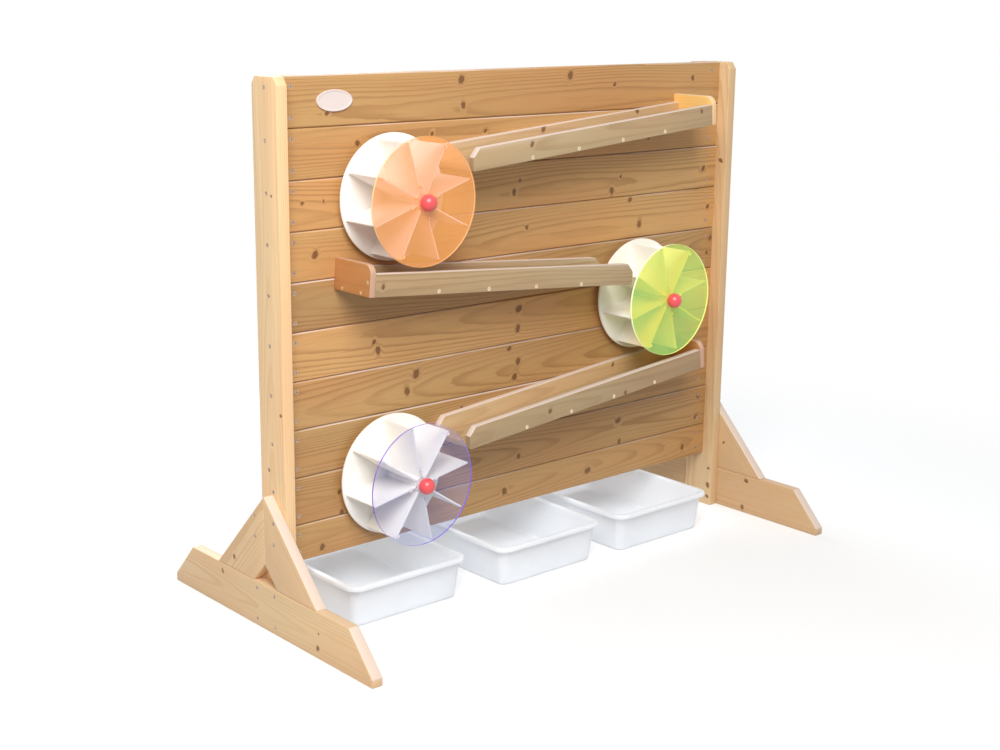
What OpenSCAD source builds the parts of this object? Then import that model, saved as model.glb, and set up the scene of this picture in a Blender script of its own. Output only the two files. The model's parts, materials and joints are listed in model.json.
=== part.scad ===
// Water play board: a free-standing panel of planks between two braced posts.
// Three sloping troughs pour water over three paddle wheels, and three loose trays catch it on the floor.
// +X runs along the board to the right, +Y goes into the board, +Z is up, and the floor is at z = 0.

/* [Frame] */
// Depth of a post, front to back
post_d = 78; // [60:1:120]
// Thickness of a post, along the board
post_t = 22; // [16:1:40]
// How far the posts stand above the panel
post_rise = 0; // [0:1:40]
// Depth of the chamfer at a post's top corners
post_chamfer_d = 10; // [4:1:20]
// Height of the chamfer at a post's top corners
post_chamfer_h = 14; // [4:1:30]
// Length of a foot beam, front to back
foot_l = 650; // [500:5:900]
// Height of a foot beam
foot_h = 88; // [70:1:110]
// Thickness of a foot beam and its braces
foot_t = 22; // [16:1:40]
// Height of the upright nose at a foot beam's ends
foot_nose_h = 16; // [6:1:40]
// Length of the slope at a foot beam's ends
foot_slope_l = 67; // [30:1:110]
// Width of a brace's board
brace_w = 90; // [60:1:110]
// Slope of a brace above the floor, in degrees
brace_angle = 46; // [40:1:55]
// How far a brace's toe stands from the post's middle
brace_reach = 163; // [145:1:240]

/* [Panel] */
// Clear width between the posts
panel_w = 1130; // [1060:5:1500]
// Height of a full plank and its seam
plank_pitch = 90; // [84:1:100]
// Height of the narrow bottom plank and its seam
bottom_plank_h = 70; // [50:1:90]
// Thickness of the planks
plank_t = 22; // [16:1:30]
// Width of the open seam between planks
seam_w = 1; // [0.5:0.5:3]
// Chamfer along a plank's long edges
plank_ease = 2; // [0.5:0.5:4]
// Height of the panel's lower edge above the floor
panel_lift = 120; // [105:1:160]
// Width of the battens behind the planks' ends
batten_w = 45; // [40:1:80]
// Thickness of the battens
batten_t = 22; // [16:1:27]

/* [Troughs] */
// Width of a trough over its boards
trough_w = 108; // [90:1:130]
// Thickness of the front and back boards
side_t = 14; // [8:1:20]
// Height of the front and back boards
side_h = 42; // [30:1:60]
// Thickness of the floor board
floor_t = 12; // [6:1:16]
// Thickness of the end cap
cap_t = 12; // [8:1:20]
// Height of the end cap above the boards
cap_rise = 16; // [4:1:30]
// Radius of the end cap's front top corner
cap_round = 18; // [6:1:24]
// Cut at the boards' low top corners
low_chamfer = 16; // [6:1:24]
// Gap between a trough's low end and its wheel's rim
trough_gap = 8; // [5:1:20]
// Height of a trough's low end above its wheel's axle
pour_h = 46; // [35:1:70]
// Slopes of the three troughs, from the top down, in degrees
trough_slopes = [4.8, 4.4, 5.4]; // [3:0.1:6]
// Distances from the high ends to the nearer post
cap_insets = [126, 109, 130]; // [80:1:160]

/* [Wheels] */
// Outer diameter of the wheels
wheel_d = 233; // [200:1:245]
// Width of a wheel over its discs
wheel_w = 98; // [80:1:120]
// Thickness of the discs
disc_t = 4; // [2:0.5:6]
// Number of blades in a wheel
blade_count = 8; // [6:1:10]
// Thickness of the blades
blade_t = 3; // [2:0.5:4]
// Distance from the blades' outer edges to the rim
blade_margin = 5; // [2:1:15]
// Outer diameter of the hub tube
hub_d = 30; // [20:1:50]
// Diameter of the hub's necks, which carry the discs
neck_d = 18; // [14:1:19]
// Depth of the hub's grooves that the blades seat in
blade_seat = 2; // [1:0.5:3]
// Gap between the panel and a wheel's back disc
wheel_gap = 12; // [11:0.5:20]
// Distances from the wheels' axles to the nearer post
wheel_insets = [232, 247, 228]; // [200:1:260]
// Clear height under the wheels, to a trough or a tray's rim
wheel_drops = [9, 14, 52.5]; // [6:0.5:70]
// Angle of the first blade of each wheel, in degrees
blade_phases = [18, 14, 11]; // [0:1:44]
// Length of a blade's tabs along the blade
tab_l = 6; // [4:0.5:10]
// Distance from a blade's outer edge to its tabs near the rim
outer_tab_gap = 3; // [1:1:20]
// Distance from the hub to a blade's tabs near the hub
inner_tab_gap = 12; // [4:1:30]
// How far the tabs stand out of the discs
tab_proud = 1; // [0.5:0.5:2]

/* [Axles] */
// Diameter of the axles
axle_d = 8; // [6:0.5:10]
// Diameter of the balls on the axles
ball_d = 31; // [24:1:40]
// Distance from a ball's centre to its flat
ball_flat = 8; // [6:0.5:11]
// Depth of the hole in a ball
ball_hole = 18; // [10:1:20]
// Nut size across its flats
nut_af = 13; // [11:0.5:16]
// Nut thickness
nut_t = 6.5; // [4:0.5:8]
// Washer diameter
washer_d = 20; // [17:1:24]
// Washer thickness
washer_t = 1.6; // [1:0.1:2]
// Thread left standing out of the back nuts
axle_tail = 4; // [1:1:10]

/* [Trays] */
// Width of a tray over its rim
tray_w = 278; // [230:1:315]
// Length of a tray over its rim
tray_l = 380; // [300:1:480]
// Height of a tray
tray_h = 85; // [60:1:100]
// Wall thickness of a tray
tray_wall = 2.5; // [2:0.5:4]
// Width of the rim that stands out of a tray's walls
rim_w = 9; // [6:1:18]
// Height of the rim's turned-down edge
rim_lip = 8; // [4:1:14]
// How far the walls lean in from the rim to the floor
tray_taper = 8; // [6:1:24]
// Radius of a tray's upright corners
tray_corner = 18; // [16:1:40]
// Radius between a tray's walls and its floor
tray_fillet = 6; // [5:0.5:14]
// Distances from the board's middle to the trays' middles
tray_places = [-358, -13, 306]; // [-380:1:330]
// How far each tray's rim stands in front of the panel's middle
tray_fronts = [116, 134, 141]; // [60:1:200]

/* [Fasteners] */
// Diameter of the screw heads
screw_head_d = 8; // [6:0.5:10]
// Height of the countersunk screw heads
screw_head_h = 3; // [2:0.5:4]
// Diameter of the screw shanks
screw_d = 4; // [3:0.5:5]
// Grip of a screw in the second piece
screw_grip = 14; // [8:1:15]
// Distance from a plank's end to its screws
plank_screw_inset = 25; // [20:1:32]
// Distance from a plank's edge to its screws
plank_screw_edge = 18; // [12:1:22]
// Distance from a plank's top to the screw in its end
post_screw_drop = 19; // [14:1:40]
// Half spacing of the foot screws, front to back
foot_screw_y = 29; // [18:1:32]
// Half spacing of the foot screws, up and down
foot_screw_z = 30; // [20:1:34]
// Distance from a post's middle to the screws in its braces
brace_screw_y = 31; // [24:1:33]
// Distance from a brace's sloped upper edge straight down to its first screw
brace_screw_drop = 11; // [9:1:20]
// Distance from that screw down to the second
brace_screw_step = 40; // [20:1:60]
// Number of screws along a trough's front board
trough_screws_n = 4; // [2:1:6]
// Spacing of the screws along a trough's front board
trough_screw_step = 120; // [60:1:140]
// Spacing of the three screws from the panel's back into a trough's back board
trough_fixing_step = 200; // [80:5:240]
// Height of those screws above the back board's lower edge
trough_fixing_h = 12; // [8:1:24]
// Wood left in front of those screws' tips
trough_fixing_stop = 2; // [1:0.5:6]
// Half spacing of the two cap screws in the floor board
cap_screw_y = 28; // [15:1:30]

/* [Plate] */
// Width of the bare oval plate
plate_w = 76; // [50:1:100]
// Height of the bare oval plate
plate_h = 38; // [25:1:60]
// Thickness of the bare oval plate
plate_t = 3; // [2:0.5:5]
// Distance from the left post to the plate's middle
plate_inset = 115; // [70:1:160]

/* [Clearances] */
// Radial clearance of a hub on its axle
running_clear = 0.05; // [0.02:0.01:0.1]
// Clearance of fixed pieces in their holes and slots
fit_clear = 0.1; // [0.05:0.05:0.3]
// End play of a hub between its washer and its ball
end_play = 0.6; // [0.4:0.1:1]
// How far a hub stands out of the front disc
hub_proud = 1; // [0.5:0.5:2]

/* [Hidden] */

// Colours of the finishes
pale_pine = [0.86, 0.67, 0.43];
honey_pine = [0.72, 0.50, 0.28];
trough_pine = [0.75, 0.58, 0.36];
cap_pine = [0.78, 0.53, 0.28];
plastic_white = [0.96, 0.94, 0.90];
tray_white = [0.93, 0.95, 0.98];
disc_tints = [[0.98, 0.62, 0.28, 0.6], [0.78, 0.92, 0.25, 0.6], [0.72, 0.66, 0.78, 0.4]];
ball_red = [0.88, 0.20, 0.22];
steel = [0.62, 0.60, 0.57];
plate_cream = [0.93, 0.84, 0.74];

// Steps round curved pieces, and the thickness of the slices that shape a tray's lower edge
fine = 96;
small = 32;
plate_steps = 64;
tray_slice = 0.1;

// Faces and heights that several pieces share
panel_x = panel_w / 2;
post_out = panel_x + post_t;
panel_front = -plank_t / 2;
full_planks = 9;
last_plank = full_planks + 1;
panel_top = panel_lift + bottom_plank_h + full_planks * plank_pitch;
post_h = panel_top + post_rise;
wheel_r = wheel_d / 2;
hub_r = hub_d / 2;
neck_r = neck_d / 2;
axle_r = axle_d / 2;
nut_r = nut_af / sqrt(3);
hex = 6;
brace_heel = brace_reach - brace_w / sin(brace_angle);
brace_top = foot_h + brace_reach * tan(brace_angle);
brace_fork = foot_h + brace_heel * tan(brace_angle);

// Heights of a plank's two edges, counted from the top plank down
function plank_high(k) = panel_top - (k - 1) * plank_pitch;
function plank_low(k) = k == last_plank ? panel_lift : panel_top - k * plank_pitch;

// A wheel and its trough share a number, from the top down. Trays are numbered from the left.
// Side of the board that each wheel is on: -1 is left, 1 is right
wheel_sides = [-1, 1, -1];
wheel_xs = [for (i = [0:2]) wheel_sides[i] * (panel_x - wheel_insets[i])];

// Where a trough's low end meets its wheel, and how long its boards are
pour_x = sqrt(pow(wheel_r + trough_gap, 2) - pow(pour_h, 2));
low_xs = [for (i = [0:2]) wheel_xs[i] - wheel_sides[i] * pour_x];
high_xs = [for (i = [0:2]) -wheel_sides[i] * (panel_x - cap_insets[i])];
board_ls = [for (i = [0:2]) abs(high_xs[i] - low_xs[i]) / cos(trough_slopes[i]) - cap_t];

// Rise from a trough's low corner to its boards' top edge above the wheel that stands over it
function rise_under(i, x) = abs(x - low_xs[i]) * tan(trough_slopes[i]) + side_h / cos(trough_slopes[i]);

// Heights of the axles, from the trays up
wheel_3_z = tray_h + wheel_drops[2] + wheel_r;
wheel_2_z = wheel_3_z + pour_h + rise_under(2, wheel_xs[1]) + wheel_drops[1] + wheel_r;
wheel_1_z = wheel_2_z + pour_h + rise_under(1, wheel_xs[0]) + wheel_drops[0] + wheel_r;
wheel_zs = [wheel_1_z, wheel_2_z, wheel_3_z];

// Places of the screws from the panel's back: along the trough, and their height above the floor
function fixing_x(i, n) = board_ls[i] / 2 + n * trough_fixing_step;
function fixing_z(i, n) = wheel_zs[i] + pour_h
  + fixing_x(i, n) * sin(trough_slopes[i]) + trough_fixing_h * cos(trough_slopes[i]);

// Places along an axle, counted from the panel's middle towards the front
back_disc_y = panel_front - wheel_gap;
blade_y = back_disc_y - disc_t;
front_disc_y = back_disc_y - wheel_w + disc_t;
hub_back_y = panel_front - 2 * washer_t - nut_t - end_play;
hub_front_y = front_disc_y - disc_t - hub_proud;
ball_y = hub_front_y - end_play - ball_flat;
ball_hole_y = hub_front_y - end_play - ball_hole;
nut_front_y = panel_front - washer_t;
nut_back_y = plank_t / 2 + washer_t;
axle_back_y = nut_back_y + nut_t + axle_tail;

// Radii of the blades' outer edges and of the tabs' middles, near the rim and near the hub
blade_r = wheel_r - blade_margin;
tab_out_r = blade_r - outer_tab_gap - tab_l / 2;
tab_in_r = hub_r + inner_tab_gap + tab_l / 2;

// Draws a flat (y, z) outline as a board of thickness t that starts at x and runs towards +X
module board_x(x, t) {
  translate([x, 0, 0]) rotate([90, 0, 90]) linear_extrude(t) children();
}

// Draws a flat (x, z) outline as a board of thickness t that starts at y and runs towards -Y
module board_y(y, t) {
  translate([0, y, 0]) rotate([90, 0, 0]) linear_extrude(t) children();
}

// A countersunk screw with its head's face at the origin, pointing up, grown all over by gap
module screw(length, gap = 0) {
  head_r = screw_head_d / 2 + gap;
  shank_r = screw_d / 2 + gap;
  rotate_extrude($fn = small) polygon([
    [0, 0], [head_r, 0], [shank_r, -screw_head_h - gap], [shank_r, -length - gap], [0, -length - gap]
  ]);
}

// Sets a screw with its head's face on a face that looks to the front
module screw_to_back(p, length, gap = 0) {
  translate(p) rotate([90, 0, 0]) screw(length, gap);
}

// Sets a screw with its head's face on a face that looks to the back
module screw_to_front(p, length, gap = 0) {
  translate(p) rotate([-90, 0, 0]) screw(length, gap);
}

// Sets a screw with its head's face on a face that looks to the side given, -1 or 1
module screw_in_side(p, side, length, gap = 0) {
  translate(p) rotate([0, side * 90, 0]) screw(length, gap);
}

// Screws through one plank's two ends into the battens
module plank_screw_set(k, gap = 0) {
  for (side = [-1, 1], z = [plank_low(k) + plank_screw_edge, plank_high(k) - plank_screw_edge]) {
    screw_to_back([side * (panel_x - plank_screw_inset), panel_front, z], plank_t + screw_grip, gap);
  }
}

// Screw through one post into the end of plank k, left out where the braces cover the post
module post_screw(side, k, gap = 0) {
  z = plank_high(k) - post_screw_drop;
  if (z > brace_top + screw_head_d / 2) {
    screw_in_side([side * post_out, 0, z], side, post_t + screw_grip, gap);
  }
}

// Screws through one foot beam into its post
module foot_screw_set(side, gap = 0) {
  for (y = [-foot_screw_y, foot_screw_y], dz = [-foot_screw_z, foot_screw_z]) {
    screw_in_side([side * (post_out + foot_t), y, foot_h / 2 + dz], side, foot_t + screw_grip, gap);
  }
}

// Screws through the brace at a post's front (-1) or back (1) into the post
module brace_screw_set(side, end, gap = 0) {
  first_z = brace_top - brace_screw_y * tan(brace_angle) - brace_screw_drop;
  for (z = [first_z, first_z - brace_screw_step]) {
    screw_in_side([side * (post_out + foot_t), end * brace_screw_y, z], side, foot_t + screw_grip, gap);
  }
}

// Screw from the panel's back into a trough's back board: n is -1, 0 or 1
module trough_fixing(i, n, gap = 0) {
  length = plank_t + side_t - trough_fixing_stop;
  at_trough(i) screw_to_front([fixing_x(i, n), plank_t / 2, trough_fixing_h], length, gap);
}

// Screws through a trough's front board and cap, in the trough's own frame
module trough_screw_set(i, gap = 0) {
  front_y = panel_front - trough_w;
  mid_y = panel_front - trough_w / 2;
  cap_x = board_ls[i] + cap_t;
  for (n = [0:trough_screws_n - 1]) {
    x = board_ls[i] / 2 + (n - (trough_screws_n - 1) / 2) * trough_screw_step;
    screw_to_back([x, front_y, floor_t / 2], side_t + screw_grip, gap);
  }
  for (dy = [-cap_screw_y, cap_screw_y]) {
    screw_in_side([cap_x, mid_y + dy, floor_t / 2], 1, cap_t + screw_grip, gap);
  }
  screw_in_side([cap_x, front_y + side_t / 2, (side_h + floor_t) / 2], 1, cap_t + screw_grip, gap);
}

// Moves a trough's own frame, with its low end at the origin and its length along +X, to its place
module at_trough(i) {
  translate([low_xs[i], 0, wheel_zs[i] + pour_h])
    mirror([wheel_sides[i] > 0 ? 1 : 0, 0, 0])
      rotate([0, -trough_slopes[i], 0]) children();
}

// Moves the origin to a wheel's axle, with +Z pointing to the front
module at_axle(i, y) {
  translate([wheel_xs[i], y, wheel_zs[i]]) rotate([90, 0, 0]) children();
}

// A cylinder along an axle that starts at y and runs to the front
module round_y(i, y, length, r) {
  at_axle(i, y) cylinder(h = length, r = r, $fn = fine);
}

// Upright board with chamfered top corners
module post(side) {
  color(pale_pine) difference() {
    board_x(side > 0 ? panel_x : -post_out, post_t) polygon([
      [-post_d / 2, 0], [post_d / 2, 0],
      [post_d / 2, post_h - post_chamfer_h], [post_d / 2 - post_chamfer_d, post_h],
      [-post_d / 2 + post_chamfer_d, post_h], [-post_d / 2, post_h - post_chamfer_h]
    ]);
    for (k = [1:last_plank]) post_screw(side, k, fit_clear);
    for (end = [-1, 1]) brace_screw_set(side, end, fit_clear);
    foot_screw_set(side, fit_clear);
  }
}

// Board that lies on the floor against the post, with sloped ends and short upright noses
module foot_beam(side) {
  half = foot_l / 2;
  color(pale_pine) difference() {
    board_x(side > 0 ? post_out : -post_out - foot_t, foot_t) polygon([
      [-half, 0], [half, 0], [half, foot_nose_h], [half - foot_slope_l, foot_h],
      [-half + foot_slope_l, foot_h], [-half, foot_nose_h]
    ]);
    foot_screw_set(side, fit_clear);
  }
}

// Sloped board that stands on the foot beam and meets its twin on the post's middle line
module brace(side, end) {
  color(pale_pine) difference() {
    board_x(side > 0 ? post_out : -post_out - foot_t, foot_t) polygon([
      [end * brace_reach, foot_h], [0, brace_top], [0, brace_fork], [end * brace_heel, foot_h]
    ]);
    brace_screw_set(side, end, fit_clear);
  }
}

// Horizontal board with eased long edges, drilled for the screws and axles that cross it
module plank(k) {
  low = plank_low(k) + seam_w / 2;
  high = plank_high(k) - (k == 1 ? 0 : seam_w / 2);
  face = plank_t / 2;
  color(honey_pine) difference() {
    board_x(-panel_x, panel_w) polygon([
      [-face + plank_ease, low], [face - plank_ease, low],
      [face, low + plank_ease], [face, high - plank_ease],
      [face - plank_ease, high], [-face + plank_ease, high],
      [-face, high - plank_ease], [-face, low + plank_ease]
    ]);
    plank_screw_set(k, fit_clear);
    for (side = [-1, 1]) post_screw(side, k, fit_clear);
    for (i = [0:2]) {
      if (wheel_zs[i] + axle_d > low && wheel_zs[i] - axle_d < high) {
        round_y(i, plank_t, 2 * plank_t, axle_r + fit_clear);
      }
      for (n = [-1:1]) {
        z = fixing_z(i, n);
        if (z + screw_head_d > low && z - screw_head_d < high) trough_fixing(i, n, fit_clear);
      }
    }
  }
}

// Upright strip behind the planks' ends that the planks are screwed to
module batten(side) {
  color(honey_pine) difference() {
    translate([side > 0 ? panel_x - batten_w : -panel_x, plank_t / 2, panel_lift])
      cube([batten_w, batten_t, panel_top - panel_lift]);
    for (k = [1:last_plank]) plank_screw_set(k, fit_clear);
  }
}

// Outline of a trough's front or back board, with its low top corner cut off
module trough_side_outline(i) {
  l = board_ls[i];
  polygon([[0, 0], [l, 0], [l, side_h], [low_chamfer, side_h], [0, side_h - low_chamfer]]);
}

module trough_back_board(i) {
  color(trough_pine) difference() {
    at_trough(i) board_y(panel_front, side_t) trough_side_outline(i);
    for (n = [-1:1]) trough_fixing(i, n, fit_clear);
  }
}

module trough_front_board(i) {
  color(trough_pine) at_trough(i) difference() {
    board_y(panel_front - trough_w + side_t, side_t) trough_side_outline(i);
    trough_screw_set(i, fit_clear);
  }
}

module trough_floor_board(i) {
  color(trough_pine) at_trough(i) difference() {
    board_y(panel_front - side_t, trough_w - 2 * side_t) square([board_ls[i], floor_t]);
    trough_screw_set(i, fit_clear);
  }
}

// Board that closes a trough's high end, taller than its sides, with its front top corner rounded
module trough_end_cap(i) {
  cap_h = side_h + cap_rise;
  color(cap_pine) at_trough(i) difference() {
    board_x(board_ls[i], cap_t) translate([panel_front - trough_w, 0]) difference() {
      square([trough_w, cap_h]);
      translate([0, cap_h - cap_round]) difference() {
        translate([-1, 0]) square([cap_round + 1, cap_round + 1]);
        translate([cap_round, 0]) circle(cap_round, $fn = fine);
      }
    }
    trough_screw_set(i, fit_clear);
  }
}

// Moves the origin to blade b's plane at a wheel's axle, with +X along the blade
module at_blade(i, b, y) {
  at_axle(i, y) rotate(blade_phases[i] + b * 360 / blade_count) children();
}

// Flat of one blade, between the discs, grown on both faces by gap
module blade_flat(i, b, gap = 0) {
  seat_r = hub_r - blade_seat;
  at_blade(i, b, blade_y) translate([seat_r, -blade_t / 2 - gap, 0])
    cube([blade_r - seat_r, blade_t + 2 * gap, wheel_w - 2 * disc_t]);
}

// Bar that makes a blade's two tabs: every second blade has them near the rim, the others near the hub
module blade_tab(i, b, y, length, gap = 0) {
  mid_r = b % 2 == 0 ? tab_in_r : tab_out_r;
  at_blade(i, b, y) translate([mid_r - tab_l / 2 - gap, -blade_t / 2 - gap, 0])
    cube([tab_l + 2 * gap, blade_t + 2 * gap, length]);
}

// Slots in a disc for the blades' tabs
module tab_slots(i, y) {
  over = tab_proud + fit_clear;
  for (b = [0:blade_count - 1]) blade_tab(i, b, y + over, disc_t + 2 * over, fit_clear);
}

// Opaque disc next to the panel
module wheel_back_disc(i) {
  color(plastic_white) difference() {
    round_y(i, back_disc_y, disc_t, wheel_r);
    round_y(i, back_disc_y + disc_t, 3 * disc_t, neck_r + fit_clear);
    tab_slots(i, back_disc_y);
  }
}

// Tinted clear disc at the front
module wheel_front_disc(i) {
  color(disc_tints[i]) difference() {
    round_y(i, front_disc_y, disc_t, wheel_r);
    round_y(i, front_disc_y + disc_t, 3 * disc_t, neck_r + fit_clear);
    tab_slots(i, front_disc_y);
  }
}

// Flat blades that stand between the discs, with tabs through both discs
module wheel_blades(i) {
  color(plastic_white) for (b = [0:blade_count - 1]) {
    blade_flat(i, b);
    blade_tab(i, b, back_disc_y + tab_proud, wheel_w + 2 * tab_proud);
  }
}

// Tube that turns on the axle: its necks carry the discs, and grooves between them seat the blades
module wheel_hub(i) {
  length = hub_back_y - hub_front_y;
  color(plastic_white) difference() {
    union() {
      round_y(i, hub_back_y, length, neck_r);
      round_y(i, blade_y, wheel_w - 2 * disc_t, hub_r);
    }
    round_y(i, hub_back_y + 1, length + 2, axle_r + running_clear);
    for (b = [0:blade_count - 1]) blade_flat(i, b, fit_clear);
  }
}

// Rod through the panel that a wheel turns on
module axle(i) {
  color(steel) round_y(i, axle_back_y, axle_back_y - ball_hole_y, axle_r);
}

// Ball that closes an axle's front end, with a flat towards the hub
module ball(i) {
  color(ball_red) difference() {
    at_axle(i, ball_y) sphere(d = ball_d, $fn = fine);
    at_axle(i, ball_y + ball_flat) translate([-ball_d, -ball_d, -ball_d])
      cube([2 * ball_d, 2 * ball_d, ball_d]);
    round_y(i, ball_hole_y + ball_hole + 1, ball_hole + 1, axle_r + fit_clear);
  }
}

// A hexagon nut on axle i that starts at y and runs to the front
module nut(i, y) {
  difference() {
    at_axle(i, y) cylinder(h = nut_t, r = nut_r, $fn = hex);
    round_y(i, y + 1, nut_t + 2, axle_r + fit_clear);
  }
}

// A washer on axle i that starts at y and runs to the front
module washer(i, y) {
  difference() {
    round_y(i, y, washer_t, washer_d / 2);
    round_y(i, y + 1, washer_t + 2, axle_r + fit_clear);
  }
}

// Nuts that clamp the axles to the panel, front and back
module axle_nuts() {
  color(steel) for (i = [0:2]) {
    nut(i, nut_front_y);
    nut(i, nut_back_y + nut_t);
  }
}

// Washers under the nuts, and one in front of each front nut that the hub runs against
module axle_washers() {
  color(steel) for (i = [0:2]) {
    washer(i, panel_front);
    washer(i, nut_front_y - nut_t);
    washer(i, plank_t / 2 + washer_t);
  }
}

// Flat rectangle with round corners, centred on the origin
module round_rect(w, l, r) {
  for (sx = [-1, 1], sy = [-1, 1]) translate([sx * (w / 2 - r), sy * (l / 2 - r)]) circle(r, $fn = fine);
  square([w, l - 2 * r], center = true);
  square([w - 2 * r, l], center = true);
}

// Solid of a tray's walls and floor, drawn in all round by inset
module tray_form(inset) {
  half_w = tray_w / 2 - rim_w - inset;
  half_l = tray_l / 2 - rim_w - inset;
  r = tray_corner - inset;
  fillet = tray_fillet - inset;
  hull() for (sx = [-1, 1], sy = [-1, 1]) {
    translate([sx * (half_w - tray_taper - r), sy * (half_l - tray_taper - r), inset]) {
      for (a = [0:30:90]) {
        translate([0, 0, fillet * (1 - cos(a))])
          cylinder(h = tray_slice, r = r - fillet * (1 - sin(a)), $fn = small);
      }
    }
    translate([sx * (half_w - r), sy * (half_l - r), tray_h - tray_wall])
      cylinder(h = tray_wall, r = r, $fn = small);
  }
}

// Loose open tub with leaning walls, round corners and a turned-down rim
module tray(n) {
  rim_r = tray_corner + rim_w;
  mouth_w = tray_w - 2 * rim_w - 2 * tray_wall;
  mouth_l = tray_l - 2 * rim_w - 2 * tray_wall;
  color(tray_white) translate([tray_places[n], tray_l / 2 - tray_fronts[n], 0]) difference() {
    union() {
      tray_form(0);
      translate([0, 0, tray_h - tray_wall]) linear_extrude(tray_wall) round_rect(tray_w, tray_l, rim_r);
      translate([0, 0, tray_h - rim_lip]) linear_extrude(rim_lip) difference() {
        round_rect(tray_w, tray_l, rim_r);
        round_rect(tray_w - 2 * tray_wall, tray_l - 2 * tray_wall, rim_r - tray_wall);
      }
    }
    tray_form(tray_wall);
    translate([0, 0, tray_h - tray_wall]) linear_extrude(2 * tray_wall)
      round_rect(mouth_w, mouth_l, tray_corner - tray_wall);
  }
}

module plank_screws() {
  color(steel) for (k = [1:last_plank]) plank_screw_set(k);
}

module post_screws() {
  color(steel) for (side = [-1, 1], k = [1:last_plank]) post_screw(side, k);
}

// Screws of the foot beams and the braces
module foot_screws() {
  color(steel) for (side = [-1, 1]) {
    foot_screw_set(side);
    for (end = [-1, 1]) brace_screw_set(side, end);
  }
}

module trough_screws() {
  color(steel) for (i = [0:2]) {
    at_trough(i) trough_screw_set(i);
    for (n = [-1:1]) trough_fixing(i, n);
  }
}

// Bare oval on the top plank
module oval_plate() {
  turn = 360 / plate_steps;
  color(plate_cream) translate([-panel_x + plate_inset, 0, (plank_low(1) + plank_high(1)) / 2])
    board_y(panel_front, plate_t)
      polygon([for (s = [1:plate_steps]) [plate_w / 2 * cos(s * turn), plate_h / 2 * sin(s * turn)]]);
}

post(-1);  // left_post
post(1);  // right_post
foot_beam(-1);  // left_foot_beam
foot_beam(1);  // right_foot_beam
brace(-1, -1);  // left_front_brace
brace(-1, 1);  // left_back_brace
brace(1, -1);  // right_front_brace
brace(1, 1);  // right_back_brace
for (k = [1:last_plank]) plank(k);
batten(-1);  // left_batten
batten(1);  // right_batten
for (i = [0:2]) {
  trough_back_board(i);
  trough_front_board(i);
  trough_floor_board(i);
  trough_end_cap(i);
  wheel_back_disc(i);
  wheel_front_disc(i);
  wheel_blades(i);
  wheel_hub(i);
  axle(i);
  ball(i);
  tray(i);
}
axle_nuts();
axle_washers();
plank_screws();
post_screws();
foot_screws();
trough_screws();
oval_plate();
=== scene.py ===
"""Finishes a pine water play board: softened boards, clear tinted wheels, trays, screws, light and camera."""

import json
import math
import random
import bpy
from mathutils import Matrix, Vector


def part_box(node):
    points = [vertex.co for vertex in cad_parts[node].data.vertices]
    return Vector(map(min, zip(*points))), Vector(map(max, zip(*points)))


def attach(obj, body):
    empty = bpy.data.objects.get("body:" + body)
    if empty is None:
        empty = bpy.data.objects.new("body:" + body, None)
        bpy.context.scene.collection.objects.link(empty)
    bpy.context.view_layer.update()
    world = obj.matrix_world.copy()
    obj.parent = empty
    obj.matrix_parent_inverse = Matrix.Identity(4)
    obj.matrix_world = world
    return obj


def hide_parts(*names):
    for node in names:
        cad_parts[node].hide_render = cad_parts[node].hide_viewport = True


bl_info = {
    "name": "Water play board",
    "version": (1, 0, 0),
    "blender": (4, 5, 0),
    "location": "3D View > Sidebar > Play board",
    "description": "Finishes a pine water play board with troughs, paddle wheels and trays",
    "category": "Object",
}

from collections import namedtuple

import bmesh
import bpy
import numpy as np
from bpy.props import FloatProperty, FloatVectorProperty, IntProperty, PointerProperty
from mathutils import Matrix, Vector

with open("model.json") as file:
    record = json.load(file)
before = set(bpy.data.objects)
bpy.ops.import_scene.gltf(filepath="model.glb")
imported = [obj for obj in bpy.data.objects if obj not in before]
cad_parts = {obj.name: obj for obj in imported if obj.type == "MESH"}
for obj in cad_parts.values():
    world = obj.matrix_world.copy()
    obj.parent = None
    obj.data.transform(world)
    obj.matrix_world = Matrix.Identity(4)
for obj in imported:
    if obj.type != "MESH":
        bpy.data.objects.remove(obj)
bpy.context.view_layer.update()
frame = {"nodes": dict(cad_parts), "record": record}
NODES = frame["nodes"]
BODIES = {node: body for body, nodes in frame["record"]["behaviour"]["bodies"].items() for node in nodes}

MM = 0.001
X_AXIS, Y_AXIS, Z_AXIS = (Vector(axis) for axis in ((1, 0, 0), (0, 1, 0), (0, 0, 1)))
SIDES = ("left", "right")
ENDS = ("front", "back")
NUMBERS = (1, 2, 3)
PLANKS = range(1, 11)

# How much lighter or darker a board is made than others of its kind. Part of it is the wood's own tone, and
# part
# is painted light: plank_3 and plank_6 are lifted where they lie in shade, the troughs' back boards get
# painted bounced light, plank_5 gets painted shadow under the middle trough, and the right-hand frame is made
# darker
TONES_AND_PAINTED_LIGHT = {
    "plank_1": 1.02,
    "plank_2": 1.06,
    "plank_3": 1.18,
    "plank_4": 1.14,
    "plank_5": 0.84,
    "plank_6": 1.20,
    "plank_8": 0.91,
    "plank_9": 0.91,
    "plank_10": 0.96,
    "left_post": 1.04,
    "left_foot_beam": 0.84,
    "left_front_brace": 0.91,
    "left_back_brace": 0.89,
    "right_post": 0.79,
    "right_foot_beam": 0.70,
    "right_front_brace": 0.76,
    "right_back_brace": 0.76,
    "trough_1_back_board": 1.25,
    "trough_2_front_board": 0.95,
    "trough_3_front_board": 0.85,
    "trough_3_back_board": 1.35,
}

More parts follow.
